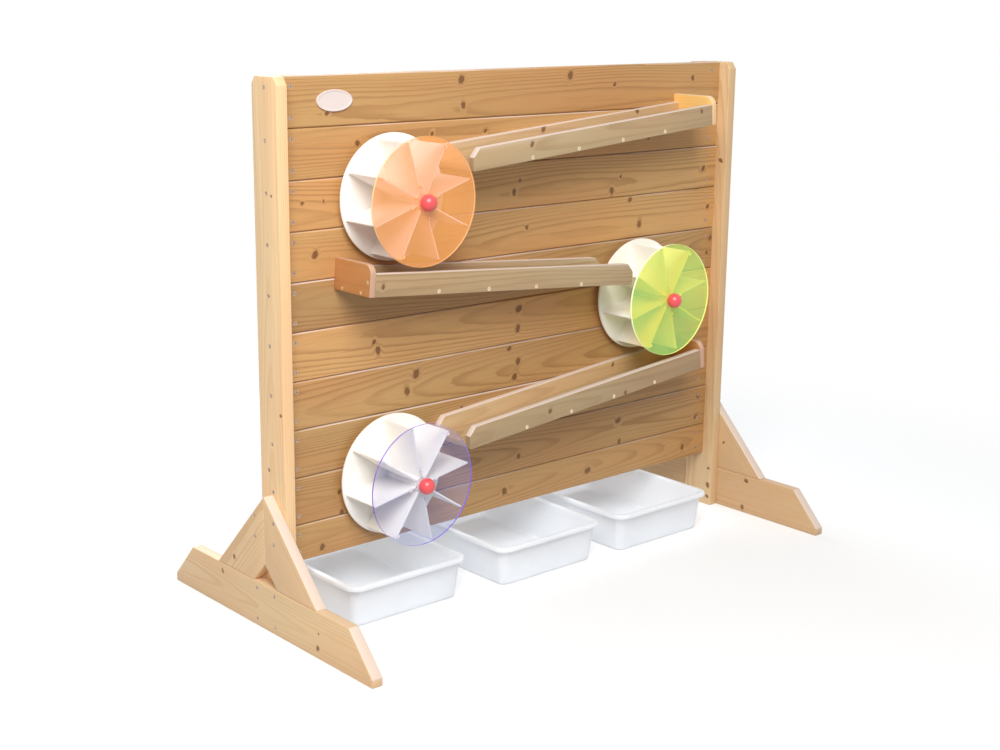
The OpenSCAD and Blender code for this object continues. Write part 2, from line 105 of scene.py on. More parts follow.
# Knots of each board: place along the level, height above the floor and radius, in millimetres
KNOTS = {
    "plank_1": ((-160, 983, 9), (-155, 935, 7), (-465, 933, 5), (120, 983, 9), (245, 962, 5), (480, 968, 6)),
    "plank_2": ((-230, 886, 5), (-400, 878, 6), (-100, 885, 5), (350, 850, 6)),
    "plank_3": (
        (-520, 780, 4), (-475, 780, 3), (-10, 784, 4), (-25, 762, 7),
        (270, 772, 4), (245, 745, 8), (525, 773, 7),
    ),
    "plank_4": ((-495, 686, 8), (10, 690, 5), (300, 722, 6), (330, 668, 8), (545, 688, 6)),
    "plank_5": ((558, 618, 6), (548, 586, 5), (-90, 610, 6)),
    "plank_6": ((-367, 510, 5), (-358, 493, 8), (-8, 528, 9), (-10, 488, 8)),
    "plank_7": ((-268, 434, 10), (-290, 404, 8), (-32, 450, 6), (-8, 421, 8), (-17, 390, 8)),
    "plank_8": ((-156, 347, 5), (330, 320, 7)),
    "plank_9": (
        (-450, 236, 5), (-445, 195, 6), (285, 246, 8), (-3, 220, 6),
        (290, 198, 6), (540, 260, 7), (535, 211, 7),
    ),
    "plank_10": ((-490, 137, 7), (-40, 153, 8), (196, 150, 9), (494, 147, 7)),
    "left_post": ((-16, 798, 3), (-30, 410, 4), (12, 300, 4)),
    "right_post": ((-25, 789, 6), (-30, 87, 4), (-30, 47, 7), (-30, 20, 5)),
    "left_foot_beam": ((148, 72, 5), (-165, 20, 6), (-168, 48, 3)),
    "right_foot_beam": ((52, 73, 4), (53, 54, 5), (-124, 76, 6), (-117, 12, 6)),
    "left_back_brace": ((105, 113, 5),),
    "right_front_brace": ((-53, 150, 4),),
    "trough_1_front_board": ((-77, 867, 6), (391, 908, 5)),
    "trough_1_back_board": ((37, 883, 7), (299, 907, 6)),
    "trough_2_front_board": ((-426, 636, 5),),
    "trough_3_front_board": ((-18, 341, 6), (193, 344, 5)),
    "trough_3_back_board": ((249, 377, 5),),
}
# Lean of a board's knots in degrees, taken in turn, how much longer than wide they are, and how rough
KNOT_LEANS = (60, 100, 25, 80)
KNOT_STRETCH = 1.35
KNOT_ROUGH = 1.3
# Share of a listed radius that a knot has, and how far it reaches and pushes the rings aside, in knot radii
KNOT_SIZE = 0.65
KNOT_SPREAD = 3.0
KNOT_PUSH = 0.7
# Parts of a knot: between which radii each fades, and how strongly it shows
HALO, HALO_SHARE = (0.9, 2.2), 0.3
HEART, HEART_SHARE = (0.75, 1.1), 0.85
BARK_IN, BARK_OUT, BARK_SHARE = (0.65, 0.95), (1.0, 1.3), 0.5

# How far the rings wander, and where the pith may lie beside a board (m), and how it may tilt
RING_DRIFT = 0.045
RING_SWAY = 0.03
RING_WIGGLE = 0.0012
PITH_ACROSS = 0.03
PITH_NEAR, PITH_FAR = 0.045, 0.10
PITH_TILT = 0.025
# Late wood: where in a ring it sets in and ends, how strongly it shows at least, and how much more at most
LATE_IN, LATE_OUT = (0.45, 0.9), (0.92, 1.0)
LATE_LEAST, LATE_MORE = 0.14, 0.56
# Fibres: the noise between which they fade in, and how strongly they show
FIBRE_BAND, FIBRE_SHARE = (0.5, 0.75), 0.34
# Hues between which a board's blotches vary
REDDER = (1.0, 0.93, 0.88)
YELLOWER = (1.0, 1.06, 1.05)
# How far grain stands out and a knot's heart sinks in, beside the fibres
GRAIN_RELIEF, HEART_RELIEF = 0.4, 0.5
# Roughness of pine, and what grain and fibres add to it
PINE_ROUGH, GRAIN_ROUGH, FIBRE_ROUGH = 0.40, 0.08, 0.14
# Painted highlight on edges and slopes that face up, as where light from above falls on them: how far a face
# must turn to that side, the noise between which it fades in, and how far it fades at most
Bleach = namedtuple("Bleach", "turn_low turn_high patch_low patch_high most")
IN_STRETCHES = Bleach(0.15, 0.40, 0.38, 0.58, 0.62)
ALL_ALONG = Bleach(0.15, 0.40, 0.10, 0.40, 0.90)
FAINTLY = Bleach(0.15, 0.40, 0.10, 0.40, 0.34)
ON_SLOPES = Bleach(0.60, 0.98, 0.10, 0.40, 0.75)

# Moulded plastic: how much darker and lighter its clouds are, and what scuffs and clouds add to it
CLOUDED = (0.96, 1.03)
SCUFF_BAND, SCUFF_ROUGH, SCUFF_RELIEF = (0.60, 0.72), 0.12, 0.4
CLOUD_ROUGH = 0.05
# How far light soaks into the milky plastic of the wheels (m)
SOAK = 0.002
# Depth over which the blades' tabs take on the front disc's tone (m)
TAB_FADE = 0.0005
# Rim of a clear disc: where it begins and ends, in disc radii, and how little its faces look to the front
RIM_INNER, RIM_OUTER = 0.96, 0.985
RIM_TURN = (0.35, 0.75)
# Clear sheet: how much darker its haze is, and what haze and scratches add to its roughness and its veil
HAZE_SHADE, HAZE_VEIL = 0.95, 0.06
SCRATCH_BAND, SCRATCH_ROUGH, SCRATCH_VEIL = (0.62, 0.74), 0.15, 0.04
SHEET_ROUGH = 0.12
# Metal: where it is tarnished and how strongly, and its roughness with what tarnish and flecks add
TARNISH_BAND, TARNISH_SHARE = (0.35, 0.7), 0.45
METAL_ROUGH, TARNISH_ROUGH, FLECK_ROUGH = 0.32, 0.2, 0.1
# Strength and height (m) of each finish's bumps
PINE_BUMP = (0.25, 0.0005)
PLASTIC_BUMP = (0.08, 0.0003)
METAL_BUMP = (0.1, 0.0002)

# A noise: about how many features a metre holds along each axis, what is added to the seed, and its detail
Noise = namedtuple("Noise", "stretch offset detail")
DRIFT = Noise((1.4, 6, 6), 0.0, 1)
SWAY = Noise((1.0, 3, 3), 0.5, 1)
WIGGLE = Noise((22, 140, 140), 0.0, 3)
STRONG = Noise((1.6, 16, 16), 0.9, 1)
BLOTCH = Noise((2.4, 10, 10), 0.3, 2)
FIBRE = Noise((9, 420, 420), 0.7, 3)
KNOT_EDGE = Noise((190, 190, 190), 0.0, 3)
WEAR = Noise((2.2, 0, 0), 0.2, 2)
CLOUD = Noise((9, 9, 9), 0.0, 3)
SKIN = Noise((900, 900, 900), 0.0, 1)
SCUFF = Noise((60, 60, 400), 0.4, 3)
HAZE = Noise((14, 14, 14), 0.0, 3)
SCRATCH = Noise((40, 40, 500), 0.4, 3)
TARNISH = Noise((260, 260, 260), 0.0, 3)
FLECK = Noise((1500, 1500, 1500), 0.0, 1)
FLOOR_CLOUD = Noise((2, 2, 2), 0.0, 2)
# Middle of every noise, and the band round it over which a soft change goes
NOISE_MEAN = 0.5
NOISE_BAND = (0.3, 0.7)
# Seeds of the noise in each finish. Pieces of one kind count on from theirs, and planks from 1
SEEDS = {
    "post": 40, "foot_beam": 44, "batten": 48, "brace": 52, "trough": 20, "wheel": 3, "axle": 5,
    "ball": 7, "screw": 9, "bright_screw": 10, "plate": 11, "tray": 13, "floor": 17,
}
TROUGH_SEED_STEP = 5

# Angle above which an edge is sharp
SHARP_EDGE = math.radians(25)
# Angles below which faces are shaded as one, on softened pieces and on new ones, and below which they are one
SMOOTH_BELOW = math.radians(20)
ROUND_BELOW = math.radians(40)
FLAT_BELOW = math.radians(0.1)
# Largest hole or slot whose edges stay sharp (m), and facets across a rounded edge
HOLE_SIZE = 0.03
ARRIS_STEPS = 3
# Distance below which points are one, and least rise and run of a slanted edge (m)
MERGE = 1e-6
SLANT = 0.02
# Part of a direction above which it runs mostly along an axis
MOSTLY = 0.5


def colour(name, description, default):
    """A colour that a user may change."""
    return FloatVectorProperty(
        name=name, description=description, default=default, subtype="COLOR", size=3, min=0.0, max=1.0
    )


def length(name, description, default):
    """A size that a user may change, in metres."""
    return FloatProperty(name=name, description=description, default=default, min=0.0, unit="LENGTH")


def share(name, description, default):
    """A part of a whole that a user may change."""
    return FloatProperty(
        name=name, description=description, default=default, min=0.0, max=1.0, subtype="FACTOR"
    )


def power(name, description, default):
    """A lamp's power that a user may change, in watts."""
    return FloatProperty(name=name, description=description, default=default, unit="POWER")


def angle(name, description, degrees):
    """An angle that a user may change."""
    return FloatProperty(name=name, description=description, default=math.radians(degrees), subtype="ANGLE")


def spot(name, description, default):
    """A place that a user may change."""
    return FloatVectorProperty(name=name, description=description, default=default, subtype="TRANSLATION")


class TimberSettings(bpy.types.PropertyGroup):
    """Tones and edges of the boards"""

    pale: colour("Pale pine", "Early wood of the posts, feet and braces", (0.92, 0.627, 0.352))
    pale_late: colour("Pale pine rings", "Late wood of the posts, feet and braces", (0.75, 0.44, 0.21))
    honey: colour("Honey pine", "Early wood of the planks", (0.55, 0.308, 0.121))
    honey_late: colour("Honey pine rings", "Late wood of the planks", (0.33, 0.16, 0.053))
    trough: colour("Trough pine", "Early wood of the troughs", (0.48, 0.334, 0.186))
    trough_late: colour("Trough pine rings", "Late wood of the troughs", (0.34, 0.21, 0.098))
    cap: colour("End cap", "Early wood of the troughs' end caps", (0.54, 0.242, 0.088))
    cap_late: colour("End cap rings", "Late wood of the troughs' end caps", (0.47, 0.198, 0.066))
    top_cap: colour("Top end cap", "Early wood of the top trough's end cap", (0.95, 0.605, 0.209))
    top_cap_late: colour("Top end cap rings", "Late wood of the top trough's end cap", (0.88, 0.495, 0.154))
    knot: colour("Knots", "Heart of the knots", (0.17, 0.06, 0.014))
    bark: colour("Knot edges", "Dark edge round the knots", (0.085, 0.028, 0.008))
    # Painted highlight: the pale colour that upward-facing edges are mixed towards, as where light from above
    # falls
    edge_highlight: colour("Bleached edge", "Upper edges of the boards", (0.77, 0.65, 0.58))
    ring: length("Ring spacing", "Thickness of one year's growth", 0.0034)
    frame_arris: length("Frame edges", "Rounding of the edges of posts, feet and braces", 0.002)
    plank_arris: length("Plank edges", "Rounding of the edges of planks and battens", 0.0008)
    trough_arris: length("Trough edges", "Rounding of the edges of the trough boards", 0.0014)
    trough_round: length("Trough tops", "Rounding of the upper edges of the trough boards", 0.003)


class WheelSettings(bpy.types.PropertyGroup):
    """Plastics of the wheels and balls"""

    white: colour("Wheel white", "Back discs, blades and hubs", (0.985, 0.945, 0.885))
    orange_sheet: colour("Orange sheet", "What the orange disc scatters", (1.0, 0.46, 0.10))
    orange_through: colour("Through orange", "What the orange disc lets through", (1.0, 0.92, 0.97))
    green_sheet: colour("Green sheet", "What the green disc scatters", (0.42, 1.0, 0.34))
    green_through: colour("Through green", "What the green disc lets through", (1.0, 0.83, 0.44))
    violet_sheet: colour("Violet sheet", "What the clear disc scatters", (0.26, 0.36, 0.90))
    violet_through: colour("Through violet", "What the clear disc lets through", (0.97, 0.97, 0.97))
    orange_edge: colour("Orange edge", "Rim of the orange disc", (1.0, 0.70, 0.36))
    green_edge: colour("Green edge", "Rim of the green disc", (0.86, 0.95, 0.62))
    violet_edge: colour("Violet edge", "Rim of the clear disc", (0.17, 0.10, 0.52))
    orange_tab: colour("Orange tabs", "Tabs of the blades in the orange disc", (1.0, 0.53, 0.27))
    green_tab: colour("Green tabs", "Tabs of the blades in the green disc", (0.75, 0.80, 0.18))
    violet_tab: colour("Violet tabs", "Tabs of the blades in the clear disc", (0.74, 0.70, 0.76))
    orange_tint: share("Orange tint", "Share of light that one face of the orange disc scatters", 0.36)
    green_tint: share("Green tint", "Share of light that one face of the green disc scatters", 0.22)
    violet_tint: share("Violet tint", "Share of light that one face of the clear disc scatters", 0.07)
    edge_tint: share("Edge tint", "Share of light that a disc's rim scatters", 0.92)
    # Painted glow: each disc gives off its own tone as light, whatever falls on it. On the orange and green
    # discs it stands in for fluorescence, and it brightens the clear one
    orange_glow: share("Orange glow", "Light that the orange disc gives off by fluorescence", 0.20)
    green_glow: share("Green glow", "Light that the green disc gives off by fluorescence", 0.52)
    violet_glow: share("Violet glow", "Light that the clear disc gives off by fluorescence", 0.50)
    ball: colour("Ball red", "Lacquer of the balls", (0.86, 0.08, 0.09))
    arris: length("Sheet edges", "Rounding of the discs' and blades' edges", 0.0005)


class TraySettings(bpy.types.PropertyGroup):
    """Shape and plastic of the trays"""

    white: colour("Tray white", "Plastic of the trays", (0.955, 0.97, 0.995))
    rim: length("Rim", "Width of the rim", 0.009)
    lip: length("Lip", "Height of the rim's turned-down lip", 0.008)
    taper: length("Taper", "How much further in a wall stands at the floor than at the rim", 0.008)
    wall: length("Wall", "Thickness of the plastic", 0.0025)
    corner: length("Corner", "Rounding of the rim's corners, seen from above", 0.027)
    fillet: length("Fillet", "Rounding between walls and floor", 0.006)
    roll: length("Roll", "Rounding of the rim's two edges", 0.003)
    steps: IntProperty(name="Corner steps", description="Facets round one corner", default=10, min=2)


class FixingSettings(bpy.types.PropertyGroup):
    """Metal of screws, axles, nuts, washers and the oval plate"""

    steel: colour("Steel", "Screws, axles, nuts and washers", (0.64, 0.50, 0.42))
    bright: colour("Bright screws", "Yellow-plated screws of the troughs", (0.90, 0.76, 0.52))
    grime: colour("Grime", "Dark film in recesses", (0.24, 0.17, 0.12))
    plate: colour("Plate", "Face of the oval plate", (0.80, 0.70, 0.66))
    head: length("Screw head", "Diameter of a screw's head", 0.008)
    head_depth: length("Head depth", "Height of a screw's cone", 0.003)
    shank: length("Shank", "Diameter of a screw's shank", 0.004)
    recess: length("Recess", "Depth of the cross in a screw's head", 0.0016)
    nut_chamfer: length("Nut chamfer", "Rounding of the nuts' edges", 0.0009)
    washer_chamfer: length("Washer chamfer", "Rounding of the washers' edges", 0.0003)
    border: length("Plate border", "Width of the oval plate's raised border", 0.003)
    sink: length("Plate sink", "Depth of the oval plate's field", 0.0006)


class StageSettings(bpy.types.PropertyGroup):
    """Floor, light and camera"""

    floor: colour("Floor", "Pale floor", (0.62, 0.62, 0.62))
    floor_glow: share("Floor glow", "What is added to the floor where it is seen", 0.37)
    sky: share("Sky", "Level of the light from all round", 0.34)
    key_power: power("Key lamp", "Power of the large lamp", 198)
    key_size: length("Key size", "Width of the large lamp", 2.8)
    key_place: spot("Key place", "Place of the large lamp", (-2.1, -2.5, 3.4))
    back_power: power("Back lamp", "Power of the lamp behind", 62)
    back_tone: colour("Back tone", "Colour of the lamp behind", (0.86, 0.93, 1.0))
    back_size: length("Back size", "Width of the lamp behind", 2.2)
    back_place: spot("Back place", "Place of the lamp behind", (0.4, 2.7, 1.7))
    aim: spot("Aim", "Point that the lamps look at", (0.0, 0.0, 0.4))
    eye: spot("Camera", "Place of the camera", (-2.0514, -2.2849, 1.1496))
    yaw: angle("Yaw", "Turn to the right", 41.27)
    pitch: angle("Pitch", "Tilt down", 13.93)
    roll: angle("Roll", "Turn about the view", 0.68)
    lens: FloatProperty(name="Lens", description="Focal length in millimetres", default=56.22)


def rgba(value):
    """A colour with the fourth number that a socket wants."""
    return (*tuple(value)[:3], 1.0)


def shaded(value, factor):
    """A colour made lighter or darker."""
    return tuple(min(1.0, part * factor) for part in value)


def tinted(value, tint):
    """A colour with each of its parts made stronger or weaker."""
    return tuple(min(1.0, part * factor) for part, factor in zip(value, tint))


class Socket:
    """A node's output that can be used in sums, each of which adds its Math node."""

    def __init__(self, tree, output=None):
        self.tree = tree
        self.output = output

    def add(self, kind, inputs=None, settings=None, out=0):
        """Adds a node of this kind with its settings, then the values or links of its sockets."""
        node = self.tree.nodes.new(f"ShaderNode{kind}")
        for name, value in (settings or {}).items():
            setattr(node, name, value)
        for key, value in (inputs or {}).items():
            if isinstance(value, Socket):
                self.tree.links.new(value.output, node.inputs[key])
            else:
                node.inputs[key].default_value = value
        return Socket(self.tree, node.outputs[out])

    def into(self, target):
        """Links this output to a node's input."""
        self.tree.links.new(self.output, target)

    def math(self, operation, other=0.0, swap=False):
        """One Math node on this and another value."""
        pair = {0: other, 1: self} if swap else {0: self, 1: other}
        return self.add("Math", pair, {"operation": operation})

    def __add__(self, other):
        return self.math("ADD", other)

    __radd__ = __add__

    def __sub__(self, other):
        return self.math("SUBTRACT", other)

    def __rsub__(self, other):
        return self.math("SUBTRACT", other, swap=True)

    def __mul__(self, other):
        return self.math("MULTIPLY", other)

    __rmul__ = __mul__

    def __truediv__(self, other):
        return self.math("DIVIDE", other)

    def __pow__(self, other):
        return self.math("POWER", other)

    def step(self, low, high):
        """Rises smoothly from 0 at low to 1 at high."""
        span = {"Value": self, "From Min": low, "From Max": high}
        return self.add("MapRange", span, {"interpolation_type": "SMOOTHSTEP"})

    def mix(self, first, second):
        """The first colour where this is 0, and the second where it is 1."""
        first = first if isinstance(first, Socket) else rgba(first)
        second = second if isinstance(second, Socket) else rgba(second)
        return self.add("Mix", {0: self, 6: first, 7: second}, {"data_type": "RGBA"}, out=2)

    def parts(self):
        """The three numbers of a vector."""
        first = self.add("SeparateXYZ", {0: self})
        return [Socket(self.tree, output) for output in first.output.node.outputs]

    def noise(self, kind, seed):
        """Noise of one kind, from 0 to 1."""
        spread = self.add("VectorMath", {0: self, 1: kind.stretch}, {"operation": "MULTIPLY"})
        sockets = {"Vector": spread, "W": seed + kind.offset, "Scale": 1.0, "Detail": kind.detail}
        return spread.add("TexNoise", sockets, {"noise_dimensions": "4D"})

    def bump(self, strength, distance):
        """A normal raised where this is high."""
        return self.add("Bump", {"Height": self, "Strength": strength, "Distance": distance})


def new_finish(name):
    """A new material with its shader and the place on the piece."""
    finish = bpy.data.materials.new(name)
    finish.use_nodes = True
    tree = finish.node_tree
    place = Socket(tree).add("TexCoord", out="Object")
    return finish, tree.nodes["Principled BSDF"], place


def set_shader(shader, **values):
    """Sets what is the same all over a surface."""
    for name, value in values.items():
        shader.inputs[name.replace("_", " ")].default_value = value


def lay_on_board(place, along, across, centre):
    """Turns the place on a piece into a board's own length, width and thickness."""
    turn = Matrix((along, across, along.cross(across)))
    return place.add(
        "Mapping", {"Vector": place, "Location": -(turn @ centre), "Rotation": turn.to_euler()}
    )


def knot_rings(board, knots, seed):
    """Distance to the nearest knot in knot radii, and how far the rings are lifted round the knots."""
    nearest = None
    lift = 0.0
    rough = (board.noise(KNOT_EDGE, seed) - NOISE_MEAN) * KNOT_ROUGH
    for number, (along, across, radius) in enumerate(knots):
        lean = math.radians(KNOT_LEANS[number % len(KNOT_LEANS)])
        own = board.add(
            "Mapping",
            {"Vector": board, "Location": (along, across, 0), "Rotation": (0, 0, lean),
             "Scale": (radius * KNOT_STRETCH, radius, 1)},
            {"vector_type": "TEXTURE"},
        )
        reach = own.add("VectorMath", {0: own}, {"operation": "LENGTH"}, out="Value") + rough
        nearest = reach if nearest is None else reach.math("MINIMUM", nearest)
        lift = (1 - reach.step(0, KNOT_SPREAD)) * (radius * KNOT_PUSH) + lift
    return nearest, lift


def painted_top_light(place, board, seed, side, fade):
    """Painted highlight: how far the edges that face one side are made paler, as where light falls on them.
    """
    normal = place.add("NewGeometry", out="Normal")
    facing = normal.add("VectorMath", {0: normal, 1: side}, {"operation": "DOT_PRODUCT"}, out="Value")
    patch = board.noise(WEAR, seed).step(fade.patch_low, fade.patch_high)
    return facing.step(fade.turn_low, fade.turn_high) * patch * fade.most


def solid(finish, shader):
    """What a finish's own shader shows."""
    return Socket(finish.node_tree, shader.outputs["BSDF"])


def blend(finish, amount, first, second):
    """Shows an amount of the second shader, and the first for the rest."""
    both = first.add("MixShader", {0: amount, 1: first, 2: second})
    both.into(finish.node_tree.nodes["Material Output"].inputs["Surface"])


def pine(name, early, late, lay, seed, knots, edge_highlight=None):
    """Planed pine: rings about a pith beside the board, fibres, blotches, and knots that push the rings."""
    timber = bpy.context.scene.board_timber
    chance = random.Random(seed)
    finish, shader, place = new_finish(name)
    board = lay_on_board(place, *lay)
    along, across, thick = board.parts()

    drift = board.noise(DRIFT, seed) - NOISE_MEAN
    sway = board.noise(SWAY, seed) - NOISE_MEAN
    wiggle = board.noise(WIGGLE, seed) - NOISE_MEAN
    aside = across + drift * RING_DRIFT - chance.uniform(-PITH_ACROSS, PITH_ACROSS)
    depth = chance.choice((-1, 1)) * chance.uniform(PITH_NEAR, PITH_FAR)
    deep = thick + along * chance.uniform(-PITH_TILT, PITH_TILT) + sway * RING_SWAY - depth
    radius = (aside * aside + deep * deep) ** 0.5 + wiggle * RING_WIGGLE
    if knots:
        nearest, lift = knot_rings(board, knots, seed)
        radius = radius + lift

    ring = (radius / timber.ring).math("FRACT")
    grain = ring.step(*LATE_IN) - ring.step(*LATE_OUT)
    strong = board.noise(STRONG, seed).step(*NOISE_BAND)
    blotch = board.noise(BLOTCH, seed).step(*NOISE_BAND)
    fibre = board.noise(FIBRE, seed)
    tone = blotch.mix(tinted(early, REDDER), tinted(early, YELLOWER))
    tone = (grain * (LATE_LEAST + LATE_MORE * strong)).mix(tone, late)
    tone = (fibre.step(*FIBRE_BAND) * FIBRE_SHARE).mix(tone, late)
    relief = grain * GRAIN_RELIEF + fibre
    if knots:
        halo = 1 - nearest.step(*HALO)
        heart = 1 - nearest.step(*HEART)
        edge = nearest.step(*BARK_IN) - nearest.step(*BARK_OUT)
        tone = (halo * HALO_SHARE).mix(tone, late)
        tone = (heart * HEART_SHARE).mix(tone, timber.knot)
        tone = (edge * BARK_SHARE).mix(tone, timber.bark)
        relief = relief - heart * HEART_RELIEF
    # Painted highlight: edges that face up are mixed towards a pale colour, as where light from above falls
    if edge_highlight:
        tone = painted_top_light(place, board, seed, *edge_highlight).mix(tone, timber.edge_highlight)
    tone.into(shader.inputs["Base Color"])
    (PINE_ROUGH + grain * GRAIN_ROUGH + fibre * FIBRE_ROUGH).into(shader.inputs["Roughness"])
    relief.bump(*PINE_BUMP).into(shader.inputs["Normal"])
    return finish


def moulded(name, tone, seed, roughness, coat=0.0, milky=0.0, thin=0.0, tabs=None):
    """Smooth plastic or lacquer with faint clouds, a fine skin and scuffs.

    Light may soak into it (milky) or pass through its walls (thin).
    What stands in front of a plane (tabs) may have a tone of its own.
    """
    finish, shader, place = new_finish(name)
    cloud = place.noise(CLOUD, seed)
    skin = place.noise(SKIN, seed)
    scuff = place.noise(SCUFF, seed).step(*SCUFF_BAND)
    darker, lighter = (shaded(tone, factor) for factor in CLOUDED)
    shade = cloud.step(*NOISE_BAND).mix(darker, lighter)
    if tabs:
        plane, tab_tone = tabs
        shade = place.parts()[1].step(plane - TAB_FADE, plane).mix(tab_tone, shade)
    shade.into(shader.inputs["Base Color"])
    (roughness + scuff * SCUFF_ROUGH + cloud * CLOUD_ROUGH).into(shader.inputs["Roughness"])
    (skin + scuff * SCUFF_RELIEF).bump(*PLASTIC_BUMP).into(shader.inputs["Normal"])
    set_shader(shader, Coat_Weight=coat, Coat_Roughness=0.12)
    set_shader(shader, Subsurface_Weight=milky, Subsurface_Radius=(1, 1, 1), Subsurface_Scale=SOAK)
    if thin:
        blend(finish, thin, solid(finish, shader), place.add("BsdfTranslucent", {"Color": rgba(tone)}))
    return finish


def clear_sheet(name, sheet, through, edge, tint, glow, edge_tint, seed, low, high):
    """Tinted clear plastic: it scatters a share of the light, lets the rest through and gives off a painted
    glow.
    """
    finish, shader, place = new_finish(name)
    centre = (low + high) / 2
    radius = (high.x - low.x) / 2
    level, _, height = place.parts()
    reach = ((level - centre.x) ** 2 + (height - centre.z) ** 2) ** 0.5
    across = place.add("NewGeometry", out="Normal").parts()[1].math("ABSOLUTE")
    rim = (1 - across.step(*RIM_TURN)) * reach.step(RIM_INNER * radius, RIM_OUTER * radius)
    haze = place.noise(HAZE, seed)
    scratch = place.noise(SCRATCH, seed).step(*SCRATCH_BAND)
    face = haze.step(*NOISE_BAND).mix(shaded(sheet, HAZE_SHADE), sheet)
    tone = rim.mix(face, edge)
    tone.into(shader.inputs["Base Color"])
    # Painted glow: the sheet's tone is given off as light at the glow's strength, as if the disc were a lamp
    tone.into(shader.inputs["Emission Color"])
    (SHEET_ROUGH + scratch * SCRATCH_ROUGH).into(shader.inputs["Roughness"])
    set_shader(shader, Coat_Weight=0.5, Coat_Roughness=0.05, IOR=1.49, Emission_Strength=glow)
    veil = tint + (haze - NOISE_MEAN) * HAZE_VEIL + scratch * SCRATCH_VEIL + rim * (edge_tint - tint)
    open_way = place.add("BsdfTransparent", {"Color": rgba(through)})
    blend(finish, veil, open_way, solid(finish, shader))
    return finish


def metal(name, tone, grime, seed):
    """Plated steel, duller and darker in patches."""
    finish, shader, place = new_finish(name)
    patch = place.noise(TARNISH, seed).step(*TARNISH_BAND)
    fleck = place.noise(FLECK, seed)
    (patch * TARNISH_SHARE).mix(tone, grime).into(shader.inputs["Base Color"])
    (METAL_ROUGH + patch * TARNISH_ROUGH + fleck * FLECK_ROUGH).into(shader.inputs["Roughness"])
    fleck.bump(*METAL_BUMP).into(shader.inputs["Normal"])
    set_shader(shader, Metallic=0.9)
    return finish


def dress(piece, finish):
    """Gives a piece one finish."""
    piece.data.materials.clear()
    piece.data.materials.append(finish)


def start_edit(piece):
    """Makes a piece the only one selected and opens its mesh."""
    bpy.ops.object.select_all(action="DESELECT")
    bpy.context.view_layer.objects.active = piece
    piece.select_set(True)
    bpy.ops.object.mode_set(mode="EDIT")


def extrude(*move):
    """Extrudes what is selected and moves it."""
    bpy.ops.mesh.extrude_region_move(TRANSFORM_OT_translate={"value": move})


def scale(x, y, z, centre=(0, 0, 0)):
    """Scales what is selected about a point."""
    bpy.ops.transform.resize(value=(x, y, z), center_override=centre)


def finish_edit():
    """Turns all faces of the open mesh outwards and closes it."""
    bpy.ops.mesh.select_all(action="SELECT")
    bpy.ops.mesh.normals_make_consistent(inside=False)
    bpy.ops.object.mode_set(mode="OBJECT")


def apply_modifier(piece, kind, **settings):
    """Adds a modifier with its settings and applies it."""
    modifier = piece.modifiers.new(kind.lower(), kind)
    for name, value in settings.items():
        setattr(modifier, name, value)
    bpy.ops.object.modifier_apply(modifier=modifier.name)


def is_sharp(edge):
    """Whether two faces meet at an edge at more than a slight angle."""
    return edge.is_manifold and edge.calc_face_angle() > SHARP_EDGE


def select_edges(piece, wanted, sharp_only=False):
    """Selects the edges of an open mesh whose two ends pass a test."""
    bpy.ops.mesh.select_all(action="DESELECT")
    mesh = bmesh.from_edit_mesh(piece.data)
    for edge in mesh.edges:
        if all(wanted(vert.co) for vert in edge.verts) and (is_sharp(edge) or not sharp_only):
            edge.select_set(True)
    bmesh.update_edit_mesh(piece.data)


def select_outline(piece, least):
    """Selects an open mesh's sharp edges, apart from runs round holes and slots smaller than a size."""
    bpy.ops.mesh.select_all(action="DESELECT")
    mesh = bmesh.from_edit_mesh(piece.data)
    sharp = {edge for edge in mesh.edges if is_sharp(edge)}
    while sharp:
        todo = [sharp.pop()]
        run = []
        while todo:
            edge = todo.pop()
            run.append(edge)
            near = {e for vert in edge.verts for e in vert.link_edges if e in sharp}
            sharp -= near
            todo.extend(near)
        reach = np.ptp([vert.co for edge in run for vert in edge.verts], axis=0)
        if reach.max() > least:
            for edge in run:
                edge.select_set(True)
    bmesh.update_edit_mesh(piece.data)


def soften(node, radius, least=HOLE_SIZE, up=None, up_radius=0.0):
    """Stands a copy with rounded edges in for a node, with the edges furthest up rounded more."""
    piece = bpy.data.objects.new(f"{node}_soft", NODES[node].data.copy())
    bpy.context.collection.objects.link(piece)
    start_edit(piece)
    bpy.ops.mesh.customdata_custom_splitnormals_clear()
    bpy.ops.mesh.select_all(action="SELECT")
    bpy.ops.mesh.remove_doubles(threshold=MERGE)
    bpy.ops.mesh.dissolve_limited(angle_limit=FLAT_BELOW)
    widest = max(radius, up_radius)
    select_outline(piece, least)
    bpy.ops.transform.edge_bevelweight(value=radius / widest)
    if up:
        top = max(vert.co.dot(up) for vert in bmesh.from_edit_mesh(piece.data).verts)
        select_edges(piece, lambda co: co.dot(up) > top - MERGE, sharp_only=True)
        bpy.ops.transform.edge_bevelweight(value=1 - radius / widest)
    bpy.ops.object.mode_set(mode="OBJECT")
    apply_modifier(
        piece, "BEVEL", width=widest, segments=ARRIS_STEPS, limit_method="WEIGHT",
        loop_slide=False, use_clamp_overlap=False,
    )
    bpy.ops.object.shade_smooth_by_angle(angle=SMOOTH_BELOW)
    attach(piece, BODIES[node])
    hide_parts(node)
    return piece


